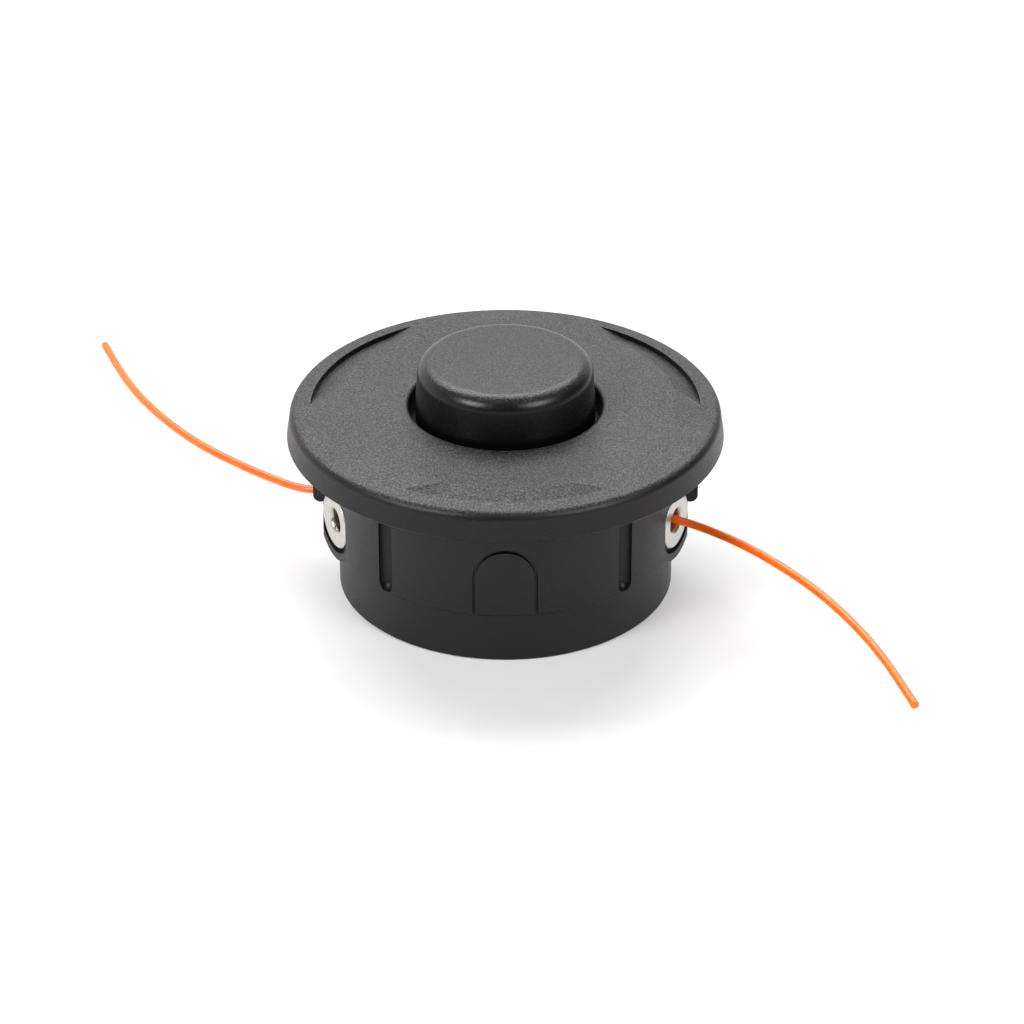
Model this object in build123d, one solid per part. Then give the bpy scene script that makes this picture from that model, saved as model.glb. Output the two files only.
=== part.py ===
from build123d import *
import math
import os

# Tap-feed trimmer head standing on its foot, shaft side down and tap knob up.
# Millimetres, foot on z = 0, spool axis on Z, eyelet pairs on -X and +X.

# Clearances
running_gap = 0.15      # spool bore on the centre post, radial
seat_gap = 0.05         # metal insert in its pocket
part_gap = 0.3          # pieces that pass or face each other
tip_gap = 0.4           # ends of dogs to the face opposite

# Housing
foot_setback = 14.15    # from the cap's edge to the lower wall
wall = 2.6
band_proud = 1.2
band_bottom = 15.2
band_edge = 0.6
housing_top = 53.2
pocket_depth = 7.0
floor_thickness = 3.0
foot_edge = 0.6
hub_radius = 14.0
hub_setback = 4.6
rib_count = 8
rib_thickness = 2.0
post_radius = 9.5
collar_height = 4.0     # of the collar that centres the spring
collar_gap = 0.9
post_above_spool = 2.0
post_crown = 4.0
arch_width = 18.3
arch_top = 36.9
arch_groove = 1.0       # width of the groove round a panel
arch_depth = 0.9
flute_radius = 2.5
flute_depth = 2.4
flute_bottom = 15.6
flute_turn = 43.0       # from the front and back centre lines

# Eyelet bosses, two at each side that meet in a ridge
ridge_proud = 6.55      # beyond the lower wall
boss_sink = 0.05        # of a boss's face below the band where they meet
boss_half_width = 12.0
boss_root = 10.0
eyelet_from_ridge = 13.3
eyelet_height = 24.5
land_setback = 2.3      # from the ridge
land_half_width = 5.0
land_bottom = 19.0

# Eyelets
eyelet_flange_radius = 8.2
eyelet_flange = 1.4
eyelet_sink = 0.1
eyelet_shank_radius = 5.4
eyelet_hole = 3.3
eyelet_mouth = 1.5
eyelet_edge = 0.25
eyelet_gap = 1.5

# Drive insert with an M10 thread, drawn at its tapping size
thread_radius = 4.375
insert_hex = 19.0
insert_head = 6.0
insert_shank_radius = 7.0
insert_length = 23.0
thread_chamfer = 0.8

# Cap
cap_radius = 62.5
cap_thickness = 3.6
rim_height = 9.95
rim_draft = 0.8
rim_edge = 0.6
rim_wall = 2.6
shoulder = 2.6
cone_width = 13.5
outer_fall = 1.3
grip_setback = 6.8      # from the cap's edge to a grip's wall
grip_start = 16.5       # from the cap's edge to a grip's chord
grip_depth = 1.5
grip_count = 3
grip_turn = 30.0
hole_edge = 1.4
collar_wall = 2.2
rib_step = 15.0         # between the ribs under the rim
rib_span = 45.0         # to each side of the front and back centre lines
rim_rib = 1.6

# Snap arms of the cap
arm_width = 7.0
arm_thickness = 2.5
arm_toe = 2.2
arm_bottom = 25.9
hook_height = 3.2
hook_bite = 1.6

# Tap knob
knob_radius = 25.7
knob_ring_gap = 1.8
knob_draft = 0.6
knob_proud = 13.7
knob_edge = 4.6
knob_wall = 3.0
knob_roof = 3.5
knob_collar_height = 5.5
knob_collar_wall = 3.0
snap_height = 3.0
snap_bite = 0.5

# Spool
press_travel = 6.5
spool_room = 3.8        # from the cap's underside to the spool's upper flange
line_space = 3.3
flange_thickness = 2.0
middle_flange = 1.6
spring_space = 5.55      # between the bore's tube and the drum
drum_wall = 3.0
bore_wall = 2.8
bore_length = 18.0
web_thickness = 3.0
washer_thickness = 1.0

# Dogs that lock the spool, upper ones to the cap and lower ones to the housing
dog_count = 6
dog_clear = 1.3         # from the cap's collar
dog_width = 6.0
dog_length = 7.0
dog_crest = 2.6
dog_root = 0.5
dog_backlash = 0.5
lower_dog_height = 5.0

# Spring
spring_wire = 1.8
spring_turns = 6

# Line
line_diameter = 2.4
coil_depth = 12.0
coil_rows = 4

# Derived heights and radii
foot_radius = cap_radius - foot_setback
ridge_reach = foot_radius + ridge_proud
land_reach = ridge_reach - land_setback
flat_radius = cap_radius - cone_width
grip_ring = cap_radius - grip_setback
grip_chord = cap_radius - grip_start
floor_top = pocket_depth + floor_thickness
cavity_radius = foot_radius - wall
band_radius = foot_radius + band_proud
boss_turn = math.degrees(math.acos((band_radius - boss_sink) / ridge_reach))
cap_top = housing_top + cap_thickness
rim_bottom = cap_top - rim_height
knob_top = cap_top + knob_proud
cap_hole = knob_radius + knob_ring_gap
knob_inner = knob_radius - knob_wall
dog_inner = cap_hole + collar_wall + dog_clear
dog_outer = dog_inner + dog_width
spool_top = housing_top - spool_room
upper_dog_height = spool_room - tip_gap
lower_dog_top = floor_top + lower_dog_height
spool_bottom = lower_dog_top + press_travel + tip_gap
flange_radius = cavity_radius - line_space
spool_bore = post_radius + running_gap
bore_radius = spool_bore + bore_wall
drum_inner = bore_radius + spring_space
drum_radius = drum_inner + drum_wall
web_bottom = spool_top - web_thickness
washer_bottom = web_bottom - washer_thickness
spring_radius = (bore_radius + drum_inner) / 2
chamber_bottom = spool_bottom + flange_thickness
chamber_top = spool_top - flange_thickness
chamber_height = (chamber_top - chamber_bottom - middle_flange) / 2
dog_pitch = 360 / dog_count
shank_length = ridge_reach * math.cos(math.radians(boss_turn)) - eyelet_sink - eyelet_flange
shank_length -= math.sqrt(cavity_radius ** 2 - (ridge_reach * math.sin(math.radians(boss_turn))
                                                - eyelet_from_ridge) ** 2)

LOW = (Align.CENTER, Align.CENTER, Align.MIN)


def disc(radius, bottom, top):
    """Upright cylinder on the axis between two heights."""
    return Pos(0, 0, bottom) * Cylinder(radius, top - bottom, align=LOW)


def tube(outer, inner, bottom, top):
    """Ring on the axis between two heights."""
    return disc(outer, bottom, top) - disc(inner, bottom, top)


def turned(*lines):
    """Solid of revolution about Z from lines that close a profile on the XZ plane."""
    return revolve(Plane.XZ * make_face(Curve() + list(lines)), Axis.Z)


def around(shape, count, start=0.0):
    """Copies of a shape evenly spaced round the axis."""
    return [Rot(0, 0, start + 360 * i / count) * shape for i in range(count)]


def dog(height, side, rise):
    """One saw-tooth dog at the +X side: its upright face on side times +Y is free, rise is +1 up or -1 down."""
    root = -dog_root * rise
    tip = height * rise
    outline = Polyline((0, root), (0, tip), (side * dog_crest, tip), (side * dog_length, 0),
                       (side * dog_length, root), close=True)
    face = Plane((dog_inner, 0, 0), x_dir=(0, 1, 0), z_dir=(1, 0, 0)) * make_face(outline)
    return extrude(face, dog_outer - dog_inner)


def eyelet_plane(side, half):
    """Plane on a boss's face at an eyelet: side is +1 for +X, half is +1 for the half nearer +Y of that side."""
    turn = half * boss_turn
    mid = Pos(ridge_reach, 0, eyelet_height) * Rot(0, 0, turn) * Pos(0, half * eyelet_from_ridge, 0)
    spot = (Rot(0, 0, 0 if side > 0 else 180) * mid * Rot(0, 90, 0)) * Rot(0, 0, 90)
    return Plane(spot)


boss_planes = {"right_front": eyelet_plane(1, -1), "right_back": eyelet_plane(1, 1),
               "left_front": eyelet_plane(-1, 1), "left_back": eyelet_plane(-1, -1)}


def arch(half_width):
    """Upright slab with a round top that runs through the front and back of the band."""
    shoulder_height = arch_top - arch_width / 2
    slab = Pos(0, 0, foot_edge) * Box(2 * half_width, 3 * band_radius, shoulder_height - foot_edge, align=LOW)
    return slab + Pos(0, 0, shoulder_height) * Rot(90, 0, 0) * Cylinder(half_width, 3 * band_radius)


def make_housing():
    """Cup with eyelet bosses, centre post, spring collar, ribbed underside and six lower dogs."""
    body = chamfer(disc(foot_radius, 0, housing_top).edges().group_by(Axis.Z)[0], foot_edge)
    body += chamfer(disc(band_radius, band_bottom, housing_top).edges().group_by(Axis.Z)[0], band_edge)

    # Arched panels at front and back, outlined by a groove
    groove = arch(arch_width / 2) - arch(arch_width / 2 - arch_groove)
    body -= groove - disc(band_radius - arch_depth, 0, housing_top)

    # Flutes with round ends
    flute = disc(flute_radius, flute_bottom + flute_radius, housing_top)
    flute += Pos(0, 0, flute_bottom + flute_radius) * Sphere(flute_radius)
    flute = Pos(band_radius + flute_radius - flute_depth, 0, 0) * flute
    for turn in (90 - flute_turn, 90 + flute_turn, 270 - flute_turn, 270 + flute_turn):
        body -= Rot(0, 0, turn) * flute

    # Bosses with round bottoms, and the land between them for a snap arm
    reach = ridge_reach * math.cos(math.radians(boss_turn)) - foot_radius + boss_root
    for plane in boss_planes.values():
        outline = Circle(boss_half_width)
        outline += Pos(0, (housing_top - eyelet_height) / 2) * Rectangle(2 * boss_half_width,
                                                                         housing_top - eyelet_height)
        body += extrude(plane * outline, -reach)
    slope = math.tan(math.radians(boss_turn))
    flat = (ridge_reach - land_reach) / slope
    side = ridge_reach - land_half_width * slope
    land = make_face(Polyline((cavity_radius - wall, -land_half_width), (side, -land_half_width), (land_reach, -flat),
                              (land_reach, flat), (side, land_half_width), (cavity_radius - wall, land_half_width),
                              close=True))
    body += around(Pos(0, 0, land_bottom) * extrude(land, housing_top - land_bottom), 2)
    beyond = Box(ridge_reach, 2 * land_half_width, housing_top, align=(Align.MIN, Align.CENTER, Align.MIN))
    body -= around(Pos(land_reach, 0, 0) * beyond, 2)

    # Hollow above and below the floor
    body -= disc(cavity_radius, floor_top, housing_top)
    body -= disc(cavity_radius, 0, pocket_depth)
    body += disc(hub_radius, hub_setback, pocket_depth)
    rib = Pos(0, 0, hub_setback) * Box(cavity_radius + wall / 2, rib_thickness, pocket_depth - hub_setback,
                                       align=(Align.MIN, Align.CENTER, Align.MIN))
    body += around(rib - disc(hub_radius - 1, 0, pocket_depth), rib_count, 180 / rib_count)

    # Centre post with its bore, and the pocket for the drive insert
    post_top = spool_top + post_above_spool
    body += chamfer(disc(post_radius, pocket_depth, post_top).edges().group_by(Axis.Z)[-1], 1.0)
    body += disc(spring_radius - spring_wire / 2 - collar_gap, pocket_depth, floor_top + collar_height)
    body -= disc(insert_shank_radius + seat_gap, 0, post_top - post_crown)
    body -= Pos(0, 0, hub_setback) * extrude(hexagon(insert_hex + 2 * seat_gap), insert_head)

    # Seats for the eyelets
    for plane in boss_planes.values():
        body -= extrude(plane * Circle(eyelet_flange_radius + eyelet_gap), -(eyelet_sink + eyelet_flange))
        body -= extrude(plane * Circle(eyelet_shank_radius + seat_gap), -reach)

    # Pockets that the cap's hooks catch in
    pocket = Box(hook_bite + part_gap, arm_width + 2 * part_gap, hook_height + part_gap,
                 align=(Align.MAX, Align.CENTER, Align.MIN))
    pocket = Pos(land_reach, 0, arm_bottom - part_gap) * pocket
    body -= around(pocket, 2)

    lower = Pos(0, 0, floor_top) * dog(lower_dog_height, -1, 1)
    lower = Rot(0, 0, -dog_pitch / 2) * Pos(0, -dog_backlash, 0) * lower
    return body + around(lower, dog_count)


def hexagon(across_flats):
    """Hexagon sketch of a given size across flats."""
    return RegularPolygon(across_flats / 2, 6, major_radius=False)


def make_cap():
    """Dished cover with three finger grips, a collar round the knob, upper dogs and two snap arms."""
    slope_end = cap_radius - rim_draft - shoulder
    face_end = cap_top - outer_fall
    skirt = cap_radius - rim_draft - rim_wall
    turn_in = shoulder * (1 - math.sqrt(0.5))
    body = turned(
        Polyline((cap_hole, spool_top + part_gap), (cap_hole, cap_top - hole_edge)),
        ThreePointArc((cap_hole, cap_top - hole_edge),
                      (cap_hole + hole_edge * (1 - math.sqrt(0.5)), cap_top - hole_edge * (1 - math.sqrt(0.5))),
                      (cap_hole + hole_edge, cap_top)),
        Polyline((cap_hole + hole_edge, cap_top), (flat_radius, cap_top), (slope_end, face_end)),
        ThreePointArc((slope_end, face_end), (cap_radius - rim_draft - turn_in, face_end - turn_in),
                      (cap_radius - rim_draft, face_end - shoulder)),
        Polyline((cap_radius - rim_draft, face_end - shoulder), (cap_radius, rim_bottom + rim_edge),
                 (cap_radius - rim_edge, rim_bottom), (cap_radius - rim_wall, rim_bottom), (skirt, housing_top),
                 (cap_hole + collar_wall, housing_top), (cap_hole + collar_wall, spool_top + part_gap),
                 (cap_hole, spool_top + part_gap)))

    # Finger grips: dips that fall to a wall at a ring, with ends that run out along a chord
    wall_top = cap_top - outer_fall * (grip_ring - flat_radius) / (slope_end - flat_radius)
    low = wall_top - grip_depth
    dip = turned(Polyline((flat_radius, cap_top), (grip_ring, low), (grip_ring, cap_top + 1),
                          (flat_radius, cap_top + 1), close=True))
    run_out = Polyline((grip_chord, cap_top), (grip_ring, low - grip_depth), (grip_ring, cap_top + 1),
                       (grip_chord, cap_top + 1), close=True)
    wedge = extrude(Plane.XZ * make_face(run_out), grip_ring, both=True)
    body -= around(dip & wedge, grip_count, grip_turn)

    # Ribs under the rim, clear of the eyelet bosses
    rib = Pos(band_radius + part_gap, 0, rim_bottom + rim_wall)
    rib *= Box(skirt - band_radius, rim_rib, housing_top + dog_root - rim_bottom - rim_wall,
               align=(Align.MIN, Align.CENTER, Align.MIN))
    steps = int(rib_span // rib_step)
    for centre in (90, 270):
        body += [Rot(0, 0, centre + rib_step * i) * rib for i in range(-steps, steps + 1)]

    upper = Pos(0, 0, housing_top) * Pos(0, -dog_backlash, 0) * dog(upper_dog_height, -1, -1)
    body += around(upper, dog_count)

    # Snap arms with hooks
    face = land_reach + part_gap
    arm = Pos(face, 0, arm_bottom) * Box(arm_thickness, arm_width, housing_top + dog_root - arm_bottom,
                                         align=(Align.MIN, Align.CENTER, Align.MIN))
    tip = arm_bottom + hook_height - part_gap
    hook = Polyline((face, arm_bottom), (face, tip), (face - hook_bite, tip),
                    (face - hook_bite, arm_bottom + hook_height / 3), close=True)
    arm += extrude(Plane.XZ * make_face(hook), arm_width / 2, both=True)
    toe = arm.edges().filter_by(Axis.Y).group_by(Axis.Z)[0].sort_by(Axis.X)[-1]
    arm = fillet(toe, arm_toe)
    return body + around(arm, 2)


def make_knob():
    """Hollow cap that is tapped on the ground, with an inner bead that snaps on the spool's collar."""
    corner = knob_edge * (1 - math.sqrt(0.5))
    bead = spool_top + snap_height
    roof = knob_top - knob_roof
    inner = knob_inner - knob_draft
    outer = knob_radius - knob_draft
    return turned(
        Polyline((0, roof), (inner - knob_edge, roof), (inner, roof - knob_edge), (knob_inner, cap_top),
                 (knob_inner, bead + 0.8), (knob_inner - snap_bite, bead), (knob_inner, bead - 0.8),
                 (knob_inner, spool_top), (knob_radius, spool_top), (knob_radius, cap_top),
                 (outer, knob_top - knob_edge)),
        ThreePointArc((outer, knob_top - knob_edge), (outer - corner, knob_top - corner),
                      (outer - knob_edge, knob_top)),
        Polyline((outer - knob_edge, knob_top), (0, knob_top), (0, roof)))


def make_spool():
    """Two-chamber reel with a long bore, a snap collar for the knob and saw-tooth dogs at both ends."""
    body = tube(drum_radius, drum_inner, spool_bottom, web_bottom)
    body += tube(drum_radius, spool_bore, web_bottom, spool_top)
    body += tube(bore_radius, spool_bore, spool_top - bore_length, web_bottom)
    body += tube(flange_radius, drum_inner, spool_bottom, chamber_bottom)
    body += tube(flange_radius, drum_inner, chamber_bottom + chamber_height, chamber_top - chamber_height)
    body += tube(flange_radius, spool_bore, chamber_top, spool_top)

    collar = knob_inner - seat_gap
    bead = spool_top + snap_height
    body += turned(Polyline((collar - knob_collar_wall, spool_top - 0.5), (collar, spool_top - 0.5),
                            (collar, bead - 0.8 - seat_gap), (collar - snap_bite, bead), (collar, bead + 0.8),
                            (collar - 0.6, spool_top + knob_collar_height),
                            (collar - knob_collar_wall, spool_top + knob_collar_height), close=True))

    body += around(Pos(0, 0, spool_top) * dog(upper_dog_height, 1, 1), dog_count)
    body += around(Pos(0, 0, spool_bottom) * dog(lower_dog_height, 1, -1), dog_count)
    return body


def make_coil(bottom):
    """Wound line in one chamber, with the ridges of its outer turns."""
    inner = drum_radius + part_gap
    outer = drum_radius + coil_depth
    low = bottom + part_gap
    pitch = (chamber_height - 2 * part_gap) / coil_rows
    lines = [Polyline((outer, low), (inner, low), (inner, low + coil_rows * pitch), (outer, low + coil_rows * pitch))]
    for row in range(coil_rows):
        start = low + row * pitch
        lines.append(ThreePointArc((outer, start), (outer + line_diameter / 3, start + pitch / 2),
                                   (outer, start + pitch)))
    return turned(*lines)


def make_spring():
    """Compression spring with ground ends between the floor and the washer."""
    low = floor_top + seat_gap
    high = washer_bottom - seat_gap
    path = Helix((high - low) / spring_turns, high - low, spring_radius, center=(0, 0, low))
    coil = sweep(Plane(path @ 0, z_dir=path % 0) * Circle(spring_wire / 2), path=path)
    return coil & tube(drum_inner, bore_radius, low, high)


def make_insert():
    """Steel bush with a hexagon head and a threaded bore."""
    body = Pos(0, 0, hub_setback) * extrude(hexagon(insert_hex), insert_head)
    body += disc(insert_shank_radius, hub_setback, hub_setback + insert_length)
    body -= disc(thread_radius, 0, hub_setback + insert_length)
    mouth = body.edges().filter_by(GeomType.CIRCLE).filter_by(lambda e: e.radius < thread_radius + 0.01)
    return chamfer(mouth, thread_chamfer)


def make_eyelet(plane):
    """Flanged wear bush with a round mouth, sunk in its boss."""
    corner = eyelet_mouth * (1 - math.sqrt(0.5))
    back = -(eyelet_flange + shank_length)
    body = turned(
        Polyline((eyelet_hole, -eyelet_mouth), (eyelet_hole, back), (eyelet_shank_radius, back),
                 (eyelet_shank_radius, -eyelet_flange), (eyelet_flange_radius, -eyelet_flange),
                 (eyelet_flange_radius, -eyelet_edge), (eyelet_flange_radius - eyelet_edge, 0),
                 (eyelet_hole + eyelet_mouth, 0)),
        ThreePointArc((eyelet_hole + eyelet_mouth, 0), (eyelet_hole + corner, -corner), (eyelet_hole, -eyelet_mouth)))
    return plane.location * Pos(0, 0, -eyelet_sink) * body


# Routes of the two line ends, from inside the wall to the plain cut tip: out from the ridge, Y, and rise from the
# eyelet's height
right_route = [(-9.9, -8.2, -0.6), (-5.9, -10.2, -0.6), (0.2, -14.2, -0.4), (8.4, -21.1, -0.2), (16.5, -29.7, 0),
               (24.4, -39.6, 0), (32.1, -50.9, 0), (39.4, -64.9, 0), (45.4, -79.3, 0), (50.1, -94.1, 0),
               (53.9, -108.8, 0)]
left_route = [(-9.9, 10.2, -1.0), (-5.5, 10.6, -1.7), (-0.1, 10.7, -3.0), (6.7, 13.4, -3.4), (15.8, 19.9, -3.3),
              (25.1, 27.6, -3.2), (34.6, 36.7, -3.2), (44.3, 48.4, -3.2), (54.7, 64.7, -3.2), (60.2, 75.8, -3.2),
              (66.0, 90.2, -3.2), (70.1, 102.0, -3.2)]


def make_tail(name, side, route):
    """Plain tube along straight runs and the largest arcs that the runs allow."""
    points = [Vector(side * (ridge_reach + out), y, eyelet_height + rise) for out, y, rise in route]
    radii = []
    for before, here, after in zip(points, points[1:], points[2:]):
        turn = math.radians((here - before).get_angle(after - here))
        radii.append(0.45 * min((here - before).length, (after - here).length) / math.tan(turn / 2))
    path = FilletPolyline(*points, radius=radii)
    solid = sweep(Plane(path @ 0, z_dir=path % 0) * Circle(line_diameter / 2), path=path)
    section = math.pi * line_diameter ** 2 / 4
    print(name, "length", round(path.length, 1), "radii", [round(r) for r in radii],
          "volume ratio", round(solid.volume / (section * path.length), 4))
    return solid


nodes = {"housing": make_housing(), "cap": make_cap(), "bump_knob": make_knob(), "spool": make_spool(),
         "line_coil_lower": make_coil(chamber_bottom), "line_coil_upper": make_coil(chamber_top - chamber_height),
         "thrust_washer": tube(drum_inner - part_gap, bore_radius + part_gap, washer_bottom, web_bottom),
         "spring": make_spring(), "drive_insert": make_insert(),
         "line_tail_right": make_tail("right tail", 1, right_route),
         "line_tail_left": make_tail("left tail", -1, left_route)}
for spot, plane in boss_planes.items():
    nodes["eyelet_" + spot] = make_eyelet(plane)

os.makedirs("parts", exist_ok=True)
for name, shape in nodes.items():
    export_step(shape, "parts/" + name + ".step")
    print(name, len(shape.solids()), round(shape.volume))
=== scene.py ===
# %% [markdown]
# # A tap-feed trimmer head
# This lesson dresses a finished CAD model of a line head for a brush cutter. The CAD model gives every
# hard shape and its place. Blender adds the two bent ends of cutting line, the surface of each material,
# the light and the camera. All lengths are in metres, in the same frame as the CAD model.

# %% Load the frame
import math

import bpy
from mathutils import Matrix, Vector


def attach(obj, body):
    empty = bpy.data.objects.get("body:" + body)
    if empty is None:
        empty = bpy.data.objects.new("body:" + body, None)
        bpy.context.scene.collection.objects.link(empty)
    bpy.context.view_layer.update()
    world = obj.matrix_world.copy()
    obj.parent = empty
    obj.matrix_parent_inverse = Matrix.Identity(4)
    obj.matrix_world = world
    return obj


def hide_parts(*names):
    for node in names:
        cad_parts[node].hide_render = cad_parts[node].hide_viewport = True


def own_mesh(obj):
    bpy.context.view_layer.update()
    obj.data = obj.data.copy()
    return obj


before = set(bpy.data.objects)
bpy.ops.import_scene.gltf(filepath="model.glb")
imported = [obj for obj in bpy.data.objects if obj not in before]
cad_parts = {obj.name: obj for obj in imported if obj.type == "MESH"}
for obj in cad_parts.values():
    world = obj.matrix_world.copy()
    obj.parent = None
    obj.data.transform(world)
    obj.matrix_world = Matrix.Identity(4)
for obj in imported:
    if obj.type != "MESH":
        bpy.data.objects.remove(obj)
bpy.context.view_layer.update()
MM = 0.001
print("CAD nodes:", sorted(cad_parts))

# %% [markdown]
# ## The camera
# A product photograph of a small object is taken with a long lens from about a metre away, so that
# circles stay even and the far side isn't much smaller than the near one. The camera could be placed by
# eye. Here it is worked out: a known point of the head, the middle of the cap's lower edge, has to land
# on a known spot of the picture, and the camera looks down at the head by a fixed angle. That gives its
# place with no trial and error.

# %% Camera
PICTURE = 1024
FOCAL_PIXELS = 3946.0
LOOK_DOWN = math.radians(30.2)
DISTANCE = 1.130
AIM_POINT = Vector((0.0, 0.0, 46.85 * MM))
AIM_PIXEL = (505.4, 432.3)
SENSOR = 36.0

forward = Vector((0.0, math.cos(LOOK_DOWN), -math.sin(LOOK_DOWN)))
upward = Vector((0.0, math.sin(LOOK_DOWN), math.cos(LOOK_DOWN)))
sideways = Vector((1.0, 0.0, 0.0))
off_right = (AIM_PIXEL[0] - PICTURE / 2) / FOCAL_PIXELS
off_up = (PICTURE / 2 - AIM_PIXEL[1]) / FOCAL_PIXELS
eye = AIM_POINT - DISTANCE * (forward + off_right * sideways + off_up * upward)

camera_data = bpy.data.cameras.new("camera")
camera_data.sensor_width = SENSOR
camera_data.lens = FOCAL_PIXELS * SENSOR / PICTURE
camera_data.clip_start = 0.01
camera_data.clip_end = 20.0
camera = bpy.data.objects.new("camera", camera_data)
camera.location = eye
camera.rotation_euler = (math.pi / 2 - LOOK_DOWN, 0.0, 0.0)
bpy.context.scene.collection.objects.link(camera)
bpy.context.scene.camera = camera
print("Camera at", [round(v, 4) for v in eye], "lens", round(camera_data.lens, 1), "mm")

# %% [markdown]
# ## The two line ends
# Cutting line is a stiff plastic thread, 2.4 mm thick, that has lain wound on a spool, so it keeps a bend
# when it is pulled out and stands off the ground by its own stiffness. A bent tube could be swept in mesh
# code. A NURBS curve with a round bevel is simpler: its control points pull a smooth line through the
# eyelet and out to the plain cut tip, and the order and the end points are set after the points are in,
# because Blender forgets them if they come first.

# %% Line ends
LINE_RADIUS = 1.2 * MM
RIDGE_REACH = 54.9
EYELET_HEIGHT = 24.5

# Distance out from the ridge between a pair of eyelets, then Y, then rise from the eyelets' height, in mm.
right_route = [(-9.9, -8.2, -0.6), (-5.9, -10.2, -0.6), (0.2, -14.2, -0.4), (8.4, -21.1, -0.2),
               (16.5, -29.7, 0), (24.4, -39.6, 0), (32.1, -50.9, 0), (39.4, -64.9, 0), (45.4, -79.3, 0),
               (50.1, -94.1, 0), (53.9, -108.8, 0)]
left_route = [(-9.9, 10.2, -1.0), (-5.5, 10.6, -1.7), (-0.1, 10.7, -3.0), (6.7, 13.4, -3.4),
              (15.8, 19.9, -3.3), (25.1, 27.6, -3.2), (34.6, 36.7, -3.2), (44.3, 48.4, -3.2),
              (54.7, 64.7, -3.2), (60.2, 75.8, -3.2), (66.0, 90.2, -3.2), (70.1, 102.0, -3.2)]


def line_end(name, side, route, stands_for):
    """One free end of line as a NURBS curve with a round section, in place of its CAD tube."""
    points = [Vector((side * (RIDGE_REACH + out), y, EYELET_HEIGHT + rise)) * MM for out, y, rise in route]
    curve = bpy.data.curves.new(name, "CURVE")
    curve.dimensions = "3D"
    spline = curve.splines.new("NURBS")
    spline.points.add(len(points) - 1)
    for control, point in zip(spline.points, points):
        control.co = (*point, 1.0)
        control.radius = LINE_RADIUS
    spline.order_u = 3
    spline.use_endpoint_u = True
    spline.resolution_u = 12
    # A bevel of one metre, scaled by each point's radius: Blender adds that radius to the curve's box.
    curve.bevel_depth = 1.0
    curve.bevel_resolution = 6
    curve.use_fill_caps = True
    piece = bpy.data.objects.new(name, curve)
    bpy.context.scene.collection.objects.link(piece)
    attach(piece, "housing")
    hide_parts(stands_for)
    print(name, "with", len(points), "control points, ends at", [round(v, 4) for v in points[-1]])
    return piece


line_right = line_end("line_end_right", 1, right_route, "line_tail_right")
line_left = line_end("line_end_left", -1, left_route, "line_tail_left")

# %% [markdown]
# ## Tools for the materials
# Colours are written the way a picture editor shows them, as sRGB hex values, and one function turns them
# into the linear numbers that Blender computes with. Every surface is a small tree of nodes. One helper
# adds a node, fills its sockets and joins it to the nodes before it, so that a material reads like a
# recipe.

# %% Colour and node helpers


def linear(hex_colour):
    """Linear RGBA of an sRGB hex colour."""
    channels = [int(hex_colour[i:i + 2], 16) / 255 for i in (1, 3, 5)]
    values = [c / 12.92 if c <= 0.04045 else ((c + 0.055) / 1.055) ** 2.4 for c in channels]
    return (*values, 1.0)


def add(tree, kind, settings=None, links=None):
    """Adds a node. A setting names a socket or else a property, and a link joins a socket to its source."""
    node = tree.nodes.new(kind)
    for name, value in (settings or {}).items():
        if isinstance(name, int) or name in node.inputs:
            node.inputs[name].default_value = value
        else:
            setattr(node, name, value)
    for name, source in (links or {}).items():
        tree.links.new(source, node.inputs[name])
    return node


def new_material(name):
    """An empty material, its node tree, its shader and its object coordinates."""
    material = bpy.data.materials.new(name)
    material.use_nodes = True
    tree = material.node_tree
    shader = tree.nodes["Principled BSDF"]
    place = tree.nodes.new("ShaderNodeTexCoord").outputs["Object"]
    return material, tree, shader, place


def dress(material, *names):
    """Puts a material on CAD nodes."""
    for name in names:
        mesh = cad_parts[name].data
        mesh.materials.clear()
        mesh.materials.append(material)
    print(material.name, "on", ", ".join(names))


def per_metre(millimetres):
    """Scale of a noise whose grains are that wide."""
    return 1 / (millimetres * MM)


# %% [markdown]
# ## Glass-filled nylon
# The cup, the cap and the knob are moulded from black nylon 6 with glass fibre. The mould was spark
# eroded, which leaves a skin of tiny craters. The plastic itself is nearly black, and most of the grey that
# the eye sees on it is lamp light thrown back by that skin: bright where a surface mirrors the lamp
# behind the head, dark where it mirrors the dark ceiling. So the colour stays close to black and the
# craters do most of the work. They tilt the surface a little, make it duller in their bottoms and greyer on
# their crests. That grey on the crests is partly grain and partly painted light: it is put in the colour
# on level faces only, as light from above that lifts the tops, and it fades to the dark colour on upright
# walls. Upright walls slide along the mould when the part is pushed out, so they are made smoother than
# level faces, and the craters fade with the tilt of the face. Broad cloudy patches in gloss show where
# the plastic flowed and cooled unevenly.

# %% Nylon
NYLON_IOR = 1.53
# The craters shade each other, so the skin mirrors less than its IOR says.
NYLON_MIRROR = 0.32
# Depth of the craters on upright walls, as a share of that on level faces.
WALL_CRATERS = 0.4
CLOUD_SIZE = 22.0
CLOUD_GLOSS = 0.04


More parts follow.
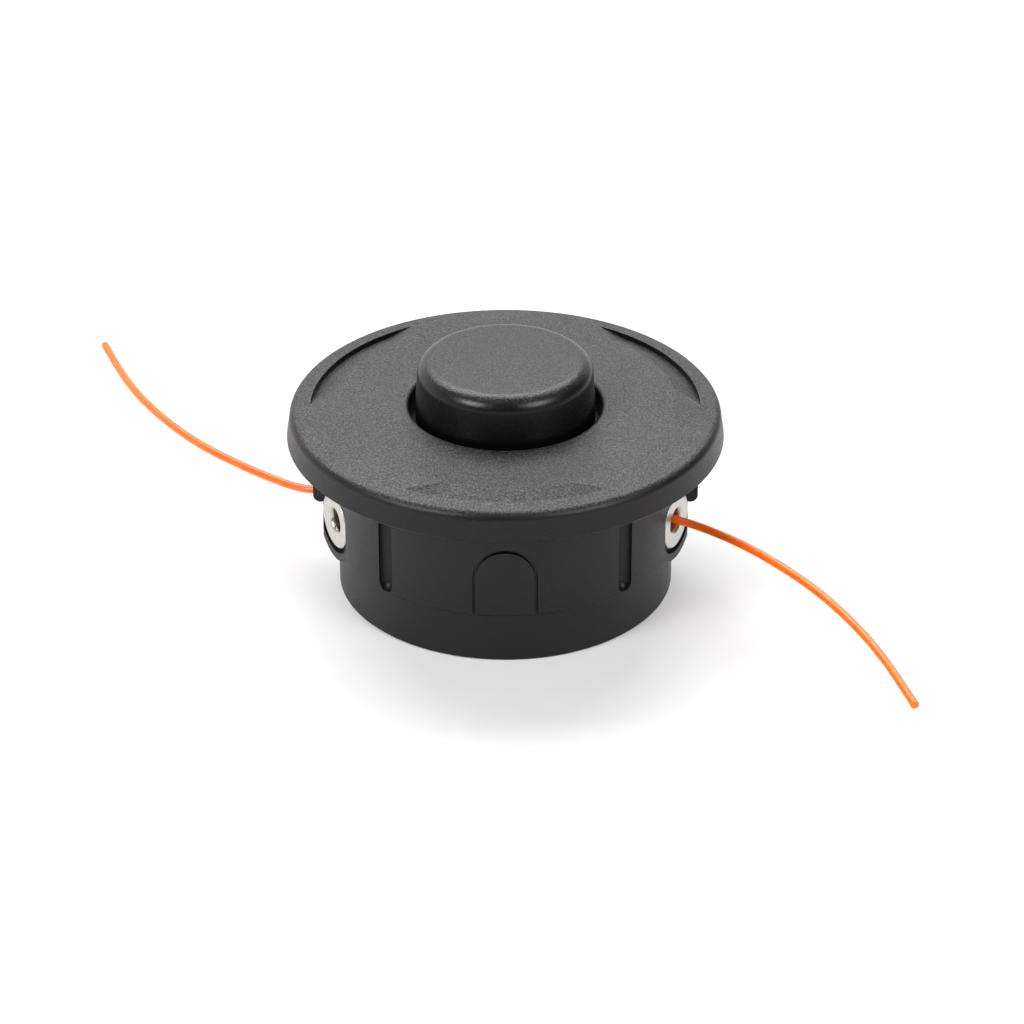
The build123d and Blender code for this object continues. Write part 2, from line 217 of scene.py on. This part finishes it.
def moulded_nylon(name, dark, light, rough_low, rough_high, grain, depth):
    """Black glass-filled nylon from a spark-eroded mould: pebbles sized in millimetres, with painted light
    greying their crests on level faces.
    """
    material, tree, shader, place = new_material(name)
    pebbles = add(tree, "ShaderNodeTexNoise", {"Scale": per_metre(grain), "Detail": 2.0, "Roughness": 0.6},
                  {"Vector": place})
    clouds = add(tree, "ShaderNodeTexNoise",
                 {"Scale": per_metre(CLOUD_SIZE), "Detail": 4.0, "Roughness": 0.55}, {"Vector": place})
    tilt = add(tree, "ShaderNodeSeparateXYZ", {}, {0: add(tree, "ShaderNodeNewGeometry").outputs["Normal"]})
    level = add(tree, "ShaderNodeMapRange", {"From Min": 0.6, "From Max": 0.95}, {"Value": tilt.outputs["Z"]})
    crest = add(tree, "ShaderNodeMapRange", {"From Min": 0.42, "From Max": 0.72},
                {"Value": pebbles.outputs["Fac"]})
    # Grey crests on level faces only: grain, plus painted light from above that lifts the tops.
    grain_and_painted_top_light = add(tree, "ShaderNodeMath", {"operation": "MULTIPLY"},
                 {0: crest.outputs[0], 1: level.outputs[0]})
    tone = add(tree, "ShaderNodeMix", {"data_type": "RGBA", 6: linear(dark), 7: linear(light)},
               {0: grain_and_painted_top_light.outputs[0]})
    patch = add(tree, "ShaderNodeMapRange",
                {"From Min": 0.3, "From Max": 0.7, "To Min": -CLOUD_GLOSS, "To Max": CLOUD_GLOSS},
                {"Value": clouds.outputs["Fac"]})
    gloss = add(tree, "ShaderNodeMapRange",
                {"From Min": 0.3, "From Max": 0.7, "To Min": rough_high, "To Max": rough_low},
                {"Value": pebbles.outputs["Fac"]})
    dull = add(tree, "ShaderNodeMath", {"operation": "ADD"}, {0: gloss.outputs[0], 1: patch.outputs[0]})
    crater = add(tree, "ShaderNodeMapRange", {"To Min": WALL_CRATERS, "To Max": 1.0},
                 {"Value": level.outputs[0]})
    skin = add(tree, "ShaderNodeBump", {"Distance": depth * MM},
               {"Height": pebbles.outputs["Fac"], "Strength": crater.outputs[0]})
    tree.links.new(tone.outputs[2], shader.inputs["Base Color"])
    tree.links.new(dull.outputs[0], shader.inputs["Roughness"])
    tree.links.new(skin.outputs[0], shader.inputs["Normal"])
    shader.inputs["IOR"].default_value = NYLON_IOR
    shader.inputs["Specular IOR Level"].default_value = NYLON_MIRROR
    return material


# The real grain is about 0.2 mm wide, finer than a pixel of the picture, so it is drawn coarser.
# The second colour greys the crests of level faces: painted light from above, over the grain.
cap_nylon = moulded_nylon("nylon_cap_spark_eroded", "#080808", "#4e4e4f", 0.36, 0.50, 0.55, 0.18)
housing_nylon = moulded_nylon("nylon_housing_fine_eroded", "#090909", "#2c2c2d", 0.38, 0.48, 0.55, 0.07)
knob_nylon = moulded_nylon("nylon_knob_spark_eroded", "#060606", "#4c4c4d", 0.26, 0.38, 0.55, 0.11)
spool_nylon = moulded_nylon("nylon_spool_satin", "#101010", "#1c1c1d", 0.32, 0.42, 0.9, 0.02)
dress(cap_nylon, "cap")
dress(housing_nylon, "housing")
dress(knob_nylon, "bump_knob")
dress(spool_nylon, "spool")

# %% [markdown]
# ## Nickel-plated eyelets
# The line rubs on the eyelets at every tap, so they are pressed from steel and plated with nickel.
# Plating is bright and slightly warm, and the barrel polishing before it leaves very fine scratches in
# all directions. A metal gets its colour from its reflections, so the roughness varies, and the tint only
# darkens a little with it.

# %% Nickel


def plated_metal(name, colour, rough_low, rough_high, grain, depth):
    """Bright plated steel: coloured reflections, softened by fine tumbling marks."""
    material, tree, shader, place = new_material(name)
    marks = add(tree, "ShaderNodeTexNoise", {"Scale": per_metre(grain), "Detail": 5.0, "Roughness": 0.65},
                {"Vector": place})
    gloss = add(tree, "ShaderNodeMapRange",
                {"From Min": 0.3, "From Max": 0.7, "To Min": rough_low, "To Max": rough_high},
                {"Value": marks.outputs["Fac"]})
    dull = add(tree, "ShaderNodeMapRange", {"From Min": 0.3, "From Max": 0.7, "To Min": 0.8, "To Max": 1.0},
               {"Value": marks.outputs["Fac"]})
    tint = add(tree, "ShaderNodeVectorMath", {"operation": "SCALE", 0: linear(colour)[:3]},
               {"Scale": dull.outputs[0]})
    skin = add(tree, "ShaderNodeBump", {"Strength": 0.3, "Distance": depth * MM},
               {"Height": marks.outputs["Fac"]})
    tree.links.new(tint.outputs[0], shader.inputs["Base Color"])
    tree.links.new(gloss.outputs[0], shader.inputs["Roughness"])
    tree.links.new(skin.outputs[0], shader.inputs["Normal"])
    shader.inputs["Metallic"].default_value = 1.0
    return material


nickel = plated_metal("nickel_plate_tumbled", "#cfcdc8", 0.26, 0.40, 0.9, 0.012)
zinc = plated_metal("zinc_plate_blank", "#c4c8cc", 0.3, 0.45, 1.2, 0.03)
spring_wire = plated_metal("spring_steel_drawn", "#9c9a96", 0.28, 0.4, 0.6, 0.02)
dress(nickel, "eyelet_right_front", "eyelet_right_back", "eyelet_left_front", "eyelet_left_back")
dress(zinc, "drive_insert", "thrust_washer")
dress(spring_wire, "spring")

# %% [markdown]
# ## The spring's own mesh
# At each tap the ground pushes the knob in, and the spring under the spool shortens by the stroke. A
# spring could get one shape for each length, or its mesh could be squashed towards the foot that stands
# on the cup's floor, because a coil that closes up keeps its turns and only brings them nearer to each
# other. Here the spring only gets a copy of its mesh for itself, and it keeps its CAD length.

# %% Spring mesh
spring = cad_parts["spring"]
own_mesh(spring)

# %% [markdown]
# ## Orange nylon line
# Cutting line is extruded from clear nylon with an orange dye. Light goes a little way into it and comes
# back warmer, and the skin is smooth with a soft gloss. Subsurface scattering with a short reach gives
# that glow, and slow changes of tone along the thread show how it was drawn.

# %% Line
# How far red, green and blue light go in the dyed nylon, as shares of the line's radius.
GLOW_REACH = (1.0, 0.35, 0.08)


def extruded_line(name, deep, bright):
    """Dyed nylon thread: glowing orange with a satin skin and slow changes of tone."""
    material, tree, shader, place = new_material(name)
    drawn = add(tree, "ShaderNodeTexNoise", {"Scale": per_metre(5.0), "Detail": 3.0, "Roughness": 0.5},
                {"Vector": place})
    fine = add(tree, "ShaderNodeTexNoise", {"Scale": per_metre(0.7), "Detail": 2.0}, {"Vector": place})
    tone = add(tree, "ShaderNodeMix", {"data_type": "RGBA", 6: linear(deep), 7: linear(bright)},
               {0: drawn.outputs["Fac"]})
    gloss = add(tree, "ShaderNodeMapRange",
                {"From Min": 0.3, "From Max": 0.7, "To Min": 0.26, "To Max": 0.38},
                {"Value": fine.outputs["Fac"]})
    skin = add(tree, "ShaderNodeBump", {"Strength": 0.2, "Distance": 0.03 * MM},
               {"Height": fine.outputs["Fac"]})
    tree.links.new(tone.outputs[2], shader.inputs["Base Color"])
    tree.links.new(gloss.outputs[0], shader.inputs["Roughness"])
    tree.links.new(skin.outputs[0], shader.inputs["Normal"])
    shader.inputs["IOR"].default_value = NYLON_IOR
    shader.inputs["Subsurface Weight"].default_value = 0.6
    shader.inputs["Subsurface Radius"].default_value = GLOW_REACH
    shader.inputs["Subsurface Scale"].default_value = LINE_RADIUS
    return material


orange_line = extruded_line("nylon_line_orange", "#ff6606", "#ff7c16")
for piece in (line_right, line_left):
    piece.data.materials.append(orange_line)
dress(orange_line, "line_coil_lower", "line_coil_upper", "line_tail_right", "line_tail_left")

# %% [markdown]
# ## White paper floor
# The head stands on white paper that runs on without a horizon. Paper scatters light evenly and has
# almost no gloss. One large sheet is enough, with a faint cloudiness. Its own colour is a light grey that
# the lamps lift to white. It lies on a light table, so it glows a little and its shadows stay pale.

# %% Floor
FLOOR_HALF = 6.0
FLOOR_GLOW = 0.2


def paper_floor():
    """A large sheet of white paper under the head."""
    mesh = bpy.data.meshes.new("paper_floor")
    corners = [(-FLOOR_HALF, -FLOOR_HALF, 0), (FLOOR_HALF, -FLOOR_HALF, 0), (FLOOR_HALF, FLOOR_HALF, 0),
               (-FLOOR_HALF, FLOOR_HALF, 0)]
    mesh.from_pydata(corners, [], [(0, 1, 2, 3)])
    floor = bpy.data.objects.new("paper_floor", mesh)
    bpy.context.scene.collection.objects.link(floor)
    material, tree, shader, place = new_material("paper_white")
    fibres = add(tree, "ShaderNodeTexNoise", {"Scale": per_metre(8.0), "Detail": 3.0}, {"Vector": place})
    tone = add(tree, "ShaderNodeMix", {"data_type": "RGBA", 6: linear("#d2d2d4"), 7: linear("#d6d6d5")},
               {0: fibres.outputs["Fac"]})
    tree.links.new(tone.outputs[2], shader.inputs["Base Color"])
    shader.inputs["Roughness"].default_value = 0.9
    shader.inputs["Specular IOR Level"].default_value = 0.1
    shader.inputs["Emission Color"].default_value = linear("#ffffff")
    shader.inputs["Emission Strength"].default_value = FLOOR_GLOW
    mesh.materials.append(material)
    return floor


print("Floor", paper_floor().name, "of", 2 * FLOOR_HALF, "m")

# %% [markdown]
# ## Light
# Black plastic shows what it mirrors. A wide soft box stands behind the head and leans over it: it greys
# the level surfaces and throws a soft shadow towards the camera. Two smaller boxes in front, left and
# right, put one highlight each on the knob's round. The ceiling stays dark, and so do the rounds that
# mirror it.

# %% Lamps and air
HEAD_MIDDLE = Vector((0.0, 0.0, 0.04))


def soft_box(name, azimuth, elevation, distance, width, height, watts):
    """A rectangular lamp that faces the head. Azimuth 0 is in front, at the camera, and 90 to the right."""
    turn, lift = math.radians(azimuth), math.radians(elevation)
    outward = Vector((math.sin(turn) * math.cos(lift), -math.cos(turn) * math.cos(lift), math.sin(lift)))
    lamp = bpy.data.lights.new(name, "AREA")
    lamp.shape = "RECTANGLE"
    lamp.size = width
    lamp.size_y = height
    lamp.energy = watts
    box = bpy.data.objects.new(name, lamp)
    box.location = HEAD_MIDDLE + distance * outward
    box.rotation_euler = (-outward).to_track_quat("-Z", "Y").to_euler()
    bpy.context.scene.collection.objects.link(box)
    print(name, watts, "W, brightness", round(watts / (math.pi * width * height), 2))
    return box


# Azimuth and elevation in degrees, distance, width and height in metres, then watts.
soft_box("soft_box_behind", 187, 56, 1.3, 1.45, 0.75, 24.0)
soft_box("soft_box_front_left", -48, 36, 1.2, 0.4, 0.4, 9.0)
soft_box("soft_box_front_right", 46, 36, 1.2, 0.4, 0.4, 7.5)

# %% [markdown]
# ## The white wall
# Behind the head the studio has a white wall, brightest near the floor. Every edge that turns away from
# the camera mirrors it, which draws the thin light lines round the knob's back and down both sides of the
# cup. It needs no geometry: the world's colour depends on the direction, bright low down at the back,
# more so to the left, and dim elsewhere. Heights are those on a sphere of radius one.

# %% World
AIR = 0.10
WALL = 1.3
WALL_SIDE = (-0.5, 0.87, 0.0)
WALL_FULL_BELOW = 0.15
WALL_TOP = 0.68

world = bpy.data.worlds.new("studio_air")
world.use_nodes = True
air = world.node_tree
outlook = add(air, "ShaderNodeTexCoord").outputs["Generated"]
direction = add(air, "ShaderNodeSeparateXYZ", {}, {0: outlook})
facing = add(air, "ShaderNodeVectorMath", {"operation": "DOT_PRODUCT", 1: WALL_SIDE}, {0: outlook})
backward = add(air, "ShaderNodeMapRange", {"From Min": 0.0, "From Max": 0.7},
               {"Value": facing.outputs["Value"]})
low = add(air, "ShaderNodeMapRange",
          {"From Min": WALL_FULL_BELOW, "From Max": WALL_TOP, "To Min": WALL, "To Max": 0.0},
          {"Value": direction.outputs["Z"]})
wall = add(air, "ShaderNodeMath", {"operation": "MULTIPLY"}, {0: backward.outputs[0], 1: low.outputs[0]})
glow = add(air, "ShaderNodeMath", {"operation": "ADD", 1: AIR}, {0: wall.outputs[0]})
air.links.new(glow.outputs[0], air.nodes["Background"].inputs["Strength"])
air.nodes["Background"].inputs["Color"].default_value = linear("#ffffff")
bpy.context.scene.world = world
print("Air", AIR, "with a back wall of", AIR + WALL)

bpy.context.scene.view_settings.view_transform = "Standard"
bpy.context.scene.view_settings.look = "None"
